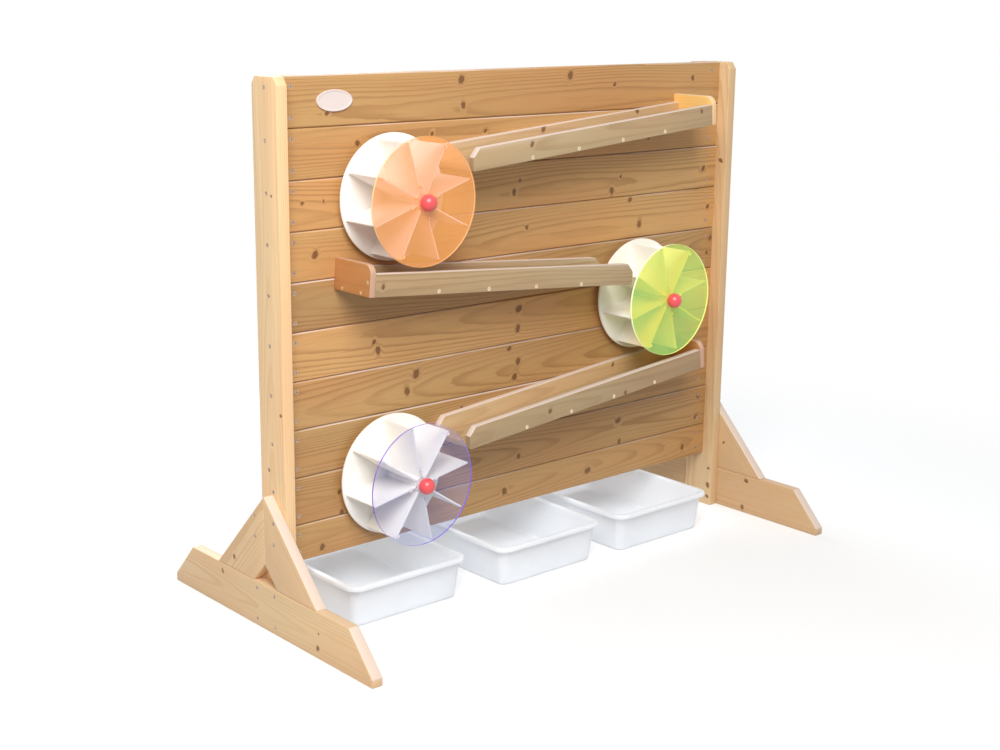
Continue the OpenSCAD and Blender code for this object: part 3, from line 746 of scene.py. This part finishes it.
def board(node, tones, along, across, radius, slot, seed, edge_highlight=None, up_radius=0.0):
    """Stands a softened board in for a node and cuts it from its own piece of pine."""
    low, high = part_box(node)
    centre = (low + high) / 2
    level = 1 if abs(along.cross(across).x) > MOSTLY else 0
    knots = []
    for place, height, size in KNOTS.get(node, ()):
        point = Vector((0, 0, height * MM))
        point[level] = place * MM
        offset = point - centre
        knots.append((offset.dot(along), offset.dot(across), size * KNOT_SIZE * MM))
    # Each board's colours are scaled here by its tone factor, painted light and shade included
    tones = [shaded(tone, TONES_AND_PAINTED_LIGHT.get(node, 1.0)) for tone in tones]
    finish = pine(f"{node}_pine", *tones, (along, across, centre), seed, knots, edge_highlight)
    dress(soften(node, radius, up=across if up_radius else None, up_radius=up_radius), finish)


def edge_spans(node):
    """The vectors along a node's edges."""
    mesh = NODES[node].data
    return [mesh.vertices[a].co - mesh.vertices[b].co for a, b in (edge.vertices for edge in mesh.edges)]


class PLAYBOARD_OT_frame(bpy.types.Operator):
    """Posts, feet, braces and battens in pale and honey pine"""

    bl_idname = "play_board.frame"
    bl_label = "Frame"

    def execute(self, context):
        timber = context.scene.board_timber
        pale = (timber.pale, timber.pale_late)
        honey = (timber.honey, timber.honey_late)
        # Painted highlight on the slopes of the feet and braces that face up and forward
        edge_highlight = ((Z_AXIS - Y_AXIS).normalized(), ON_SLOPES)
        arris = timber.frame_arris
        for number, side in enumerate(SIDES):
            board(f"{side}_post", pale, Z_AXIS, Y_AXIS, arris, "pale_pine", SEEDS["post"] + number)
            seed = SEEDS["foot_beam"] + number
            board(f"{side}_foot_beam", pale, Y_AXIS, Z_AXIS, arris, "pale_pine", seed, edge_highlight)
            seed = SEEDS["batten"] + number
            board(f"{side}_batten", honey, Z_AXIS, X_AXIS, timber.plank_arris, "honey_pine", seed)
            for place, end in enumerate(ENDS):
                node = f"{side}_{end}_brace"
                along = self.lean(node)
                seed = SEEDS["brace"] + len(ENDS) * number + place
                board(node, pale, along, along.cross(X_AXIS), arris, "pale_pine", seed, edge_highlight)
        return {"FINISHED"}

    @staticmethod
    def lean(node):
        """Direction of a brace, from its longest slanted edge."""
        flat = [span for span in edge_spans(node) if abs(span.x) < MM]
        slanted = [span for span in flat if abs(span.y) > SLANT and abs(span.z) > SLANT]
        return max(slanted, key=lambda span: span.length).normalized()


class PLAYBOARD_OT_panel(bpy.types.Operator):
    """Ten honey pine planks, each from its own board"""

    bl_idname = "play_board.panel"
    bl_label = "Panel"

    def execute(self, context):
        timber = context.scene.board_timber
        tones = (timber.honey, timber.honey_late)
        # Painted highlight on the planks' upper edges, in stretches
        edge_highlight = (Z_AXIS, IN_STRETCHES)
        for number in PLANKS:
            board(f"plank_{number}", tones, X_AXIS, Z_AXIS, timber.plank_arris, "honey_pine", number, edge_highlight)
        return {"FINISHED"}


class PLAYBOARD_OT_troughs(bpy.types.Operator):
    """Sides, floors and end caps of the troughs"""

    bl_idname = "play_board.troughs"
    bl_label = "Troughs"

    def execute(self, context):
        timber = context.scene.board_timber
        tones = (timber.trough, timber.trough_late)
        low_cap = (timber.cap, timber.cap_late)
        top_cap = (timber.top_cap, timber.top_cap_late)
        for number, cap_tones in zip(NUMBERS, (top_cap, low_cap, low_cap)):
            along = self.slope(f"trough_{number}_floor_board")
            upright = along.cross(Y_AXIS)
            seed = SEEDS["trough"] + TROUGH_SEED_STEP * number
            for place, part in enumerate(("back", "front")):
                node = f"trough_{number}_{part}_board"
                # Painted highlight all along the upper edges of the trough's sides
                board(
                    node, tones, along, upright, timber.trough_arris, "trough_pine", seed + place,
                    (upright, ALL_ALONG), timber.trough_round,
                )
            node = f"trough_{number}_floor_board"
            board(node, tones, along, Y_AXIS, timber.trough_arris, "trough_pine", seed + 2)
            node = f"trough_{number}_end_cap"
            # Faint painted highlight on the end cap's edges that face up and forward
            edge_highlight = ((upright - Y_AXIS).normalized(), FAINTLY)
            board(node, cap_tones, Y_AXIS, upright, timber.trough_arris, "cap_pine", seed + 3, edge_highlight)
        return {"FINISHED"}

    @staticmethod
    def slope(node):
        """Direction of a trough, from the longest edge of its floor."""
        level = [span for span in edge_spans(node) if abs(span.y) < MM]
        span = max(level, key=lambda one: one.length).normalized()
        return span if span.x > 0 else -span


class PLAYBOARD_OT_wheels(bpy.types.Operator):
    """Paddle wheels with white blades between a white and a tinted disc"""

    bl_idname = "play_board.wheels"
    bl_label = "Wheels"
    ROUGHNESS = 0.38
    MILKY = 0.4
    SLOTS = ("orange_clear", "green_clear", "violet_clear")
    LOOKS = ("tab", "sheet", "through", "edge", "tint", "glow")

    def execute(self, context):
        wheel = context.scene.board_wheels
        for number, slot in zip(NUMBERS, self.SLOTS):
            hue = slot.removesuffix("_clear")
            tab, *looks = (getattr(wheel, f"{hue}_{look}") for look in self.LOOKS)
            low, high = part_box(f"wheel_{number}_front_disc")
            white = moulded(
                f"wheel_{number}_white", wheel.white, SEEDS["wheel"], self.ROUGHNESS,
                milky=self.MILKY, tabs=(high.y, tab),
            )
            for part in ("back_disc", "blades"):
                dress(soften(f"wheel_{number}_{part}", wheel.arris), white)
            dress(NODES[f"wheel_{number}_hub"], white)
            finish = clear_sheet(slot, *looks, wheel.edge_tint, number, low, high)
            dress(soften(f"wheel_{number}_front_disc", wheel.arris), finish)
        return {"FINISHED"}


class PLAYBOARD_OT_axles(bpy.types.Operator):
    """Axles with their nuts and washers, and the red balls on their ends"""

    bl_idname = "play_board.axles"
    bl_label = "Axles"
    BALL_ROUGHNESS = 0.32
    BALL_COAT = 0.5

    def execute(self, context):
        fixing = context.scene.board_fixings
        ball = context.scene.board_wheels.ball
        steel = metal("axle_steel", fixing.steel, fixing.grime, SEEDS["axle"])
        red = moulded("ball_red", ball, SEEDS["ball"], self.BALL_ROUGHNESS, coat=self.BALL_COAT)
        dress(soften("axle_nuts", fixing.nut_chamfer, least=0), steel)
        dress(soften("axle_washers", fixing.washer_chamfer, least=0), steel)
        for number in NUMBERS:
            dress(NODES[f"axle_{number}"], steel)
            dress(NODES[f"ball_{number}"], red)
        return {"FINISHED"}


class PLAYBOARD_OT_screws(bpy.types.Operator):
    """Countersunk screws with a cross in their heads, where the frame has them"""

    bl_idname = "play_board.screws"
    bl_label = "Screws"
    HEAD_SIDES = 12
    # Width of the point, the cross's waist and its floor, as a share of the width that each starts from
    POINT = 0.2
    WAIST = 0.4
    FLOOR = 0.7
    # Width of the rim round the cross, as a share of the head's diameter
    RIM = 0.14

    def execute(self, context):
        fixing = context.scene.board_fixings
        steel = metal("screw_steel", fixing.steel, fixing.grime, SEEDS["screw"])
        bright = metal("screw_bright", fixing.bright, fixing.steel, SEEDS["bright_screw"])
        for group, finish in (("plank", steel), ("post", steel), ("foot", steel), ("trough", bright)):
            node = f"{group}_screws"
            screws = [self.model(fixing, *seat) for seat in self.seats(node)]
            piece = screws[0]
            piece.name = f"{group}_screws_cross"
            bpy.ops.object.select_all(action="DESELECT")
            for screw in screws:
                screw.select_set(True)
            bpy.context.view_layer.objects.active = piece
            bpy.ops.object.join()
            bpy.ops.object.shade_smooth_by_angle(angle=ROUND_BELOW)
            dress(piece, finish)
            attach(piece, BODIES[node])
            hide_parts(node)
        return {"FINISHED"}

    @staticmethod
    def seats(node):
        """Place of each screw's head, direction out of it, and its length, from the frame's own screws."""
        copy = bpy.data.objects.new("screw_seats", NODES[node].data.copy())
        bpy.context.collection.objects.link(copy)
        start_edit(copy)
        bpy.ops.mesh.select_all(action="SELECT")
        bpy.ops.mesh.remove_doubles(threshold=MERGE)
        bpy.ops.mesh.separate(type="LOOSE")
        bpy.ops.object.mode_set(mode="OBJECT")
        found = []
        for single in list(bpy.context.selected_objects):
            points = np.array([vert.co for vert in single.data.vertices])
            middle = points.mean(axis=0)
            axis = np.linalg.svd(points - middle, full_matrices=False)[2][0]
            run = (points - middle) @ axis
            wide = np.linalg.norm(points - middle - np.outer(run, axis), axis=1)
            out = axis if run[wide.argmax()] > np.median(run) else -axis
            reach = (points - middle) @ out
            face = points[reach > reach.max() - MERGE]
            found.append((Vector(face.mean(axis=0)), Vector(out), float(np.ptp(reach))))
            bpy.data.objects.remove(single)
        return found

    def model(self, fixing, head, out, reach):
        """One screw, modelled upright and then set in its seat."""
        bpy.ops.object.select_all(action="DESELECT")
        bpy.ops.mesh.primitive_circle_add(vertices=self.HEAD_SIDES, radius=fixing.head / 2, fill_type="NGON")
        screw = bpy.context.object
        bpy.ops.object.mode_set(mode="EDIT")
        bpy.ops.transform.rotate(value=math.pi / self.HEAD_SIDES, orient_axis="Z", center_override=(0, 0, 0))
        extrude(0, 0, -fixing.head_depth)
        narrow = fixing.shank / fixing.head
        scale(narrow, narrow, 1)
        extrude(0, 0, -(reach - 2 * fixing.head_depth))
        extrude(0, 0, -fixing.head_depth)
        scale(self.POINT, self.POINT, 1)
        self.cut_cross(screw, fixing)
        finish_edit()
        screw.data.transform(Matrix.Translation(head) @ out.to_track_quat("Z", "Y").to_matrix().to_4x4())
        return screw

    def cut_cross(self, screw, fixing):
        """Presses a cross into the head's flat face."""
        select_edges(screw, lambda co: abs(co.z) < MERGE)
        bpy.ops.mesh.edge_face_add()
        bpy.ops.mesh.inset(thickness=fixing.head * self.RIM)
        mesh = bmesh.from_edit_mesh(screw.data)
        face = next(face for face in mesh.faces if face.select)
        for vert in face.verts:
            if abs(abs(vert.co.x) - abs(vert.co.y)) < MERGE:
                vert.co.xy = vert.co.xy * self.WAIST
        bmesh.update_edit_mesh(screw.data)
        extrude(0, 0, -fixing.recess)
        scale(self.FLOOR, self.FLOOR, 1)


class PLAYBOARD_OT_plate(bpy.types.Operator):
    """Bare oval plate with a raised border"""

    bl_idname = "play_board.plate"
    bl_label = "Oval plate"
    STEPS = 64
    EDGE_STEPS = 2
    UNIT_RADIUS = 0.5
    ROUGHNESS = 0.35

    def execute(self, context):
        fixing = context.scene.board_fixings
        low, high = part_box("oval_plate")
        size = high - low
        centre = (low + high) / 2
        bpy.ops.object.select_all(action="DESELECT")
        bpy.ops.mesh.primitive_circle_add(vertices=self.STEPS, radius=self.UNIT_RADIUS, fill_type="NGON")
        piece = bpy.context.object
        piece.name = "oval_plate_bordered"
        bpy.ops.object.mode_set(mode="EDIT")
        bpy.ops.transform.rotate(value=math.pi / 2, orient_axis="X", center_override=(0, 0, 0))
        scale(size.x, 1, size.z)
        bpy.ops.transform.translate(value=(centre.x, high.y, centre.z))
        extrude(0, -size.y, 0)
        bpy.ops.mesh.inset(thickness=fixing.border)
        extrude(0, fixing.sink, 0)
        bpy.ops.mesh.inset(thickness=fixing.sink)
        select_edges(piece, lambda co: abs(co.y - high.y) < MERGE)
        bpy.ops.mesh.edge_face_add()
        finish_edit()
        bevel = {"width": fixing.sink / 2, "segments": self.EDGE_STEPS, "limit_method": "ANGLE"}
        apply_modifier(piece, "BEVEL", **bevel)
        bpy.ops.object.shade_smooth_by_angle(angle=ROUND_BELOW)
        finish = moulded("plate_cream", fixing.plate, SEEDS["plate"], self.ROUGHNESS)
        dress(piece, finish)
        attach(piece, BODIES["oval_plate"])
        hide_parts("oval_plate")
        return {"FINISHED"}


class PLAYBOARD_OT_trays(bpy.types.Operator):
    """Thin-walled trays with a rolled rim"""

    bl_idname = "play_board.trays"
    bl_label = "Trays"
    ROUGHNESS = 0.34
    THIN = 0.5
    FILLET_STEPS = 5
    ROLL_STEPS = 4

    def execute(self, context):
        tray = context.scene.board_trays
        white = moulded("tray_plastic", tray.white, SEEDS["tray"], self.ROUGHNESS, thin=self.THIN)
        for number in NUMBERS:
            node = f"tray_{number}"
            piece = self.model(tray, *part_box(node))
            piece.name = f"{node}_tub"
            dress(piece, white)
            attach(piece, BODIES[node])
            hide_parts(node)
        return {"FINISHED"}

    def model(self, tray, low, high):
        """One tray, sunk from the top of its rim along the inside of its walls."""
        size = high - low
        centre = (low + high) / 2
        mouth = size - Vector((1, 1, 0)) * 2 * (tray.rim + tray.wall)
        base = mouth - Vector((1, 1, 0)) * 2 * tray.taper
        top, floor = high.z, low.z + tray.wall
        bpy.ops.object.select_all(action="DESELECT")
        bpy.ops.mesh.primitive_plane_add(size=1)
        piece = bpy.context.object
        bpy.ops.object.mode_set(mode="EDIT")
        scale(size.x, size.y, 1)
        bpy.ops.transform.translate(value=(centre.x, centre.y, top))
        bpy.ops.mesh.bevel(affect="VERTICES", offset=tray.corner, segments=tray.steps)
        bpy.ops.mesh.select_all(action="SELECT")
        bpy.ops.mesh.inset(thickness=tray.rim + tray.wall)
        extrude(0, 0, floor - top)
        scale(base.x / mouth.x, base.y / mouth.y, 1, (centre.x, centre.y, 0))
        bpy.ops.mesh.select_all(action="SELECT")
        bpy.ops.mesh.region_to_loop()
        bpy.ops.mesh.extrude_edges_move(TRANSFORM_OT_translate={"value": (0, 0, -tray.lip)})
        select_edges(piece, lambda co: abs(co.z - floor) < MERGE, sharp_only=True)
        bpy.ops.mesh.bevel(offset=tray.fillet, segments=self.FILLET_STEPS, affect="EDGES")
        select_edges(piece, lambda co: abs(co.z - top) < MERGE, sharp_only=True)
        bpy.ops.mesh.bevel(offset=tray.roll, segments=self.ROLL_STEPS, affect="EDGES")
        finish_edit()
        bottom = min(piece.data.polygons, key=lambda face: face.center.z)
        if bottom.normal.z < 0:
            piece.data.flip_normals()
        apply_modifier(piece, "SOLIDIFY", thickness=tray.wall, offset=-1, use_even_offset=True)
        bpy.ops.object.shade_smooth_by_angle(angle=ROUND_BELOW)
        return piece


class PLAYBOARD_OT_stage(bpy.types.Operator):
    """Pale floor, soft light and the camera"""

    bl_idname = "play_board.stage"
    bl_label = "Stage"
    FLOOR_SIZE = 14
    FLOOR_SHADE = 0.99
    FADE = (0.85, 1.9)
    FARTHEST = 1000

    def execute(self, context):
        stage = context.scene.board_stage
        context.scene.view_settings.view_transform = "Standard"
        self.lay_floor(stage)
        self.light_sky(stage)
        self.hang_lamp("key_lamp", stage.key_place, stage.aim, stage.key_size, stage.key_power)
        back = self.hang_lamp("back_lamp", stage.back_place, stage.aim, stage.back_size, stage.back_power)
        back.color = stage.back_tone
        self.place_camera(stage)
        return {"FINISHED"}

    @staticmethod
    def seen(tree):
        """1 for rays that come from the camera, a reflection or clear plastic."""
        path = Socket(tree).add("LightPath", out="Is Camera Ray")
        ways = path.output.node.outputs
        for name in ("Is Glossy Ray", "Is Transmission Ray"):
            path = path.math("MAXIMUM", Socket(tree, ways[name]))
        return path

    def lay_floor(self, stage):
        """Lays a floor that is shaded near the board and fades into the background."""
        bpy.ops.object.select_all(action="DESELECT")
        bpy.ops.mesh.primitive_plane_add(size=self.FLOOR_SIZE)
        floor = bpy.context.object
        floor.name = "floor"
        finish, shader, place = new_finish("pale_floor")
        cloud = place.noise(FLOOR_CLOUD, SEEDS["floor"])
        cloud.mix(shaded(stage.floor, self.FLOOR_SHADE), stage.floor).into(shader.inputs["Base Color"])
        set_shader(shader, Roughness=0.9, Specular_IOR_Level=0.0, Emission_Color=(1, 1, 1, 1))
        (self.seen(finish.node_tree) * stage.floor_glow).into(shader.inputs["Emission Strength"])
        away = place.add("VectorMath", {0: place}, {"operation": "LENGTH"}, out="Value")
        blend(finish, away.step(*self.FADE), solid(finish, shader), place.add("BsdfTransparent"))
        dress(floor, finish)

    def light_sky(self, stage):
        """Lights from all round, and shows white where the sky itself is seen."""
        world = bpy.data.worlds.new("soft_sky")
        world.use_nodes = True
        bpy.context.scene.world = world
        back = world.node_tree.nodes["Background"]
        back.inputs["Color"].default_value = (1, 1, 1, 1)
        strength = stage.sky + self.seen(world.node_tree) * (1 - stage.sky)
        strength.into(back.inputs["Strength"])

    @staticmethod
    def hang_lamp(name, place, aim, size, watts):
        """Hangs a round lamp that looks at a point."""
        lamp = bpy.data.lights.new(name, "AREA")
        lamp.shape = "DISK"
        lamp.size = size
        lamp.energy = watts
        hung = bpy.data.objects.new(name, lamp)
        bpy.context.collection.objects.link(hung)
        hung.location = place
        hung.rotation_euler = (Vector(aim) - hung.location).to_track_quat("-Z", "Y").to_euler()
        return lamp

    def place_camera(self, stage):
        """Sets up the camera of the photo's view."""
        ahead = Vector((
            math.sin(stage.yaw) * math.cos(stage.pitch),
            math.cos(stage.yaw) * math.cos(stage.pitch),
            -math.sin(stage.pitch),
        ))
        level = Vector((math.cos(stage.yaw), -math.sin(stage.yaw), 0))
        above = level.cross(ahead)
        right = math.cos(stage.roll) * level + math.sin(stage.roll) * above
        up = math.cos(stage.roll) * above - math.sin(stage.roll) * level
        camera = bpy.data.cameras.new("photo_camera")
        camera.lens = stage.lens
        camera.sensor_fit = "HORIZONTAL"
        camera.clip_end = self.FARTHEST
        view = bpy.data.objects.new("photo_camera", camera)
        bpy.context.collection.objects.link(view)
        turn = Matrix((right, up, -ahead)).transposed()
        view.matrix_world = Matrix.Translation(stage.eye) @ turn.to_4x4()
        bpy.context.scene.camera = view


class PLAYBOARD_PT_sidebar(bpy.types.Panel):
    """Lists the steps and their settings"""

    bl_idname = "PLAYBOARD_PT_sidebar"
    bl_label = "Water play board"
    bl_space_type = "VIEW_3D"
    bl_region_type = "UI"
    bl_category = "Play board"

    def draw(self, context):
        for step in STEPS:
            self.layout.operator(step.bl_idname)
        for name in SETTINGS:
            group = getattr(context.scene, name)
            box = self.layout.box()
            # The first two are Blender's own
            for key in group.bl_rna.properties.keys()[2:]:
                box.prop(group, key)


STEPS = (
    PLAYBOARD_OT_frame,
    PLAYBOARD_OT_panel,
    PLAYBOARD_OT_troughs,
    PLAYBOARD_OT_wheels,
    PLAYBOARD_OT_axles,
    PLAYBOARD_OT_screws,
    PLAYBOARD_OT_plate,
    PLAYBOARD_OT_trays,
    PLAYBOARD_OT_stage,
)
SETTINGS = {
    "board_timber": TimberSettings,
    "board_wheels": WheelSettings,
    "board_trays": TraySettings,
    "board_fixings": FixingSettings,
    "board_stage": StageSettings,
}


def register():
    """Makes the settings, steps and sidebar known."""
    for made in (*SETTINGS.values(), *STEPS, PLAYBOARD_PT_sidebar):
        bpy.utils.register_class(made)
    for name, group in SETTINGS.items():
        setattr(bpy.types.Scene, name, PointerProperty(type=group))


def unregister():
    """Takes the settings, steps and sidebar away."""
    for name in SETTINGS:
        delattr(bpy.types.Scene, name)
    for made in (PLAYBOARD_PT_sidebar, *reversed(STEPS), *SETTINGS.values()):
        bpy.utils.unregister_class(made)


def main():
    """Makes every piece and the stage."""
    register()
    bpy.ops.play_board.frame()
    bpy.ops.play_board.panel()
    bpy.ops.play_board.troughs()
    bpy.ops.play_board.wheels()
    bpy.ops.play_board.axles()
    bpy.ops.play_board.screws()
    bpy.ops.play_board.plate()
    bpy.ops.play_board.trays()
    bpy.ops.play_board.stage()


if __name__ == "__main__":
    main()
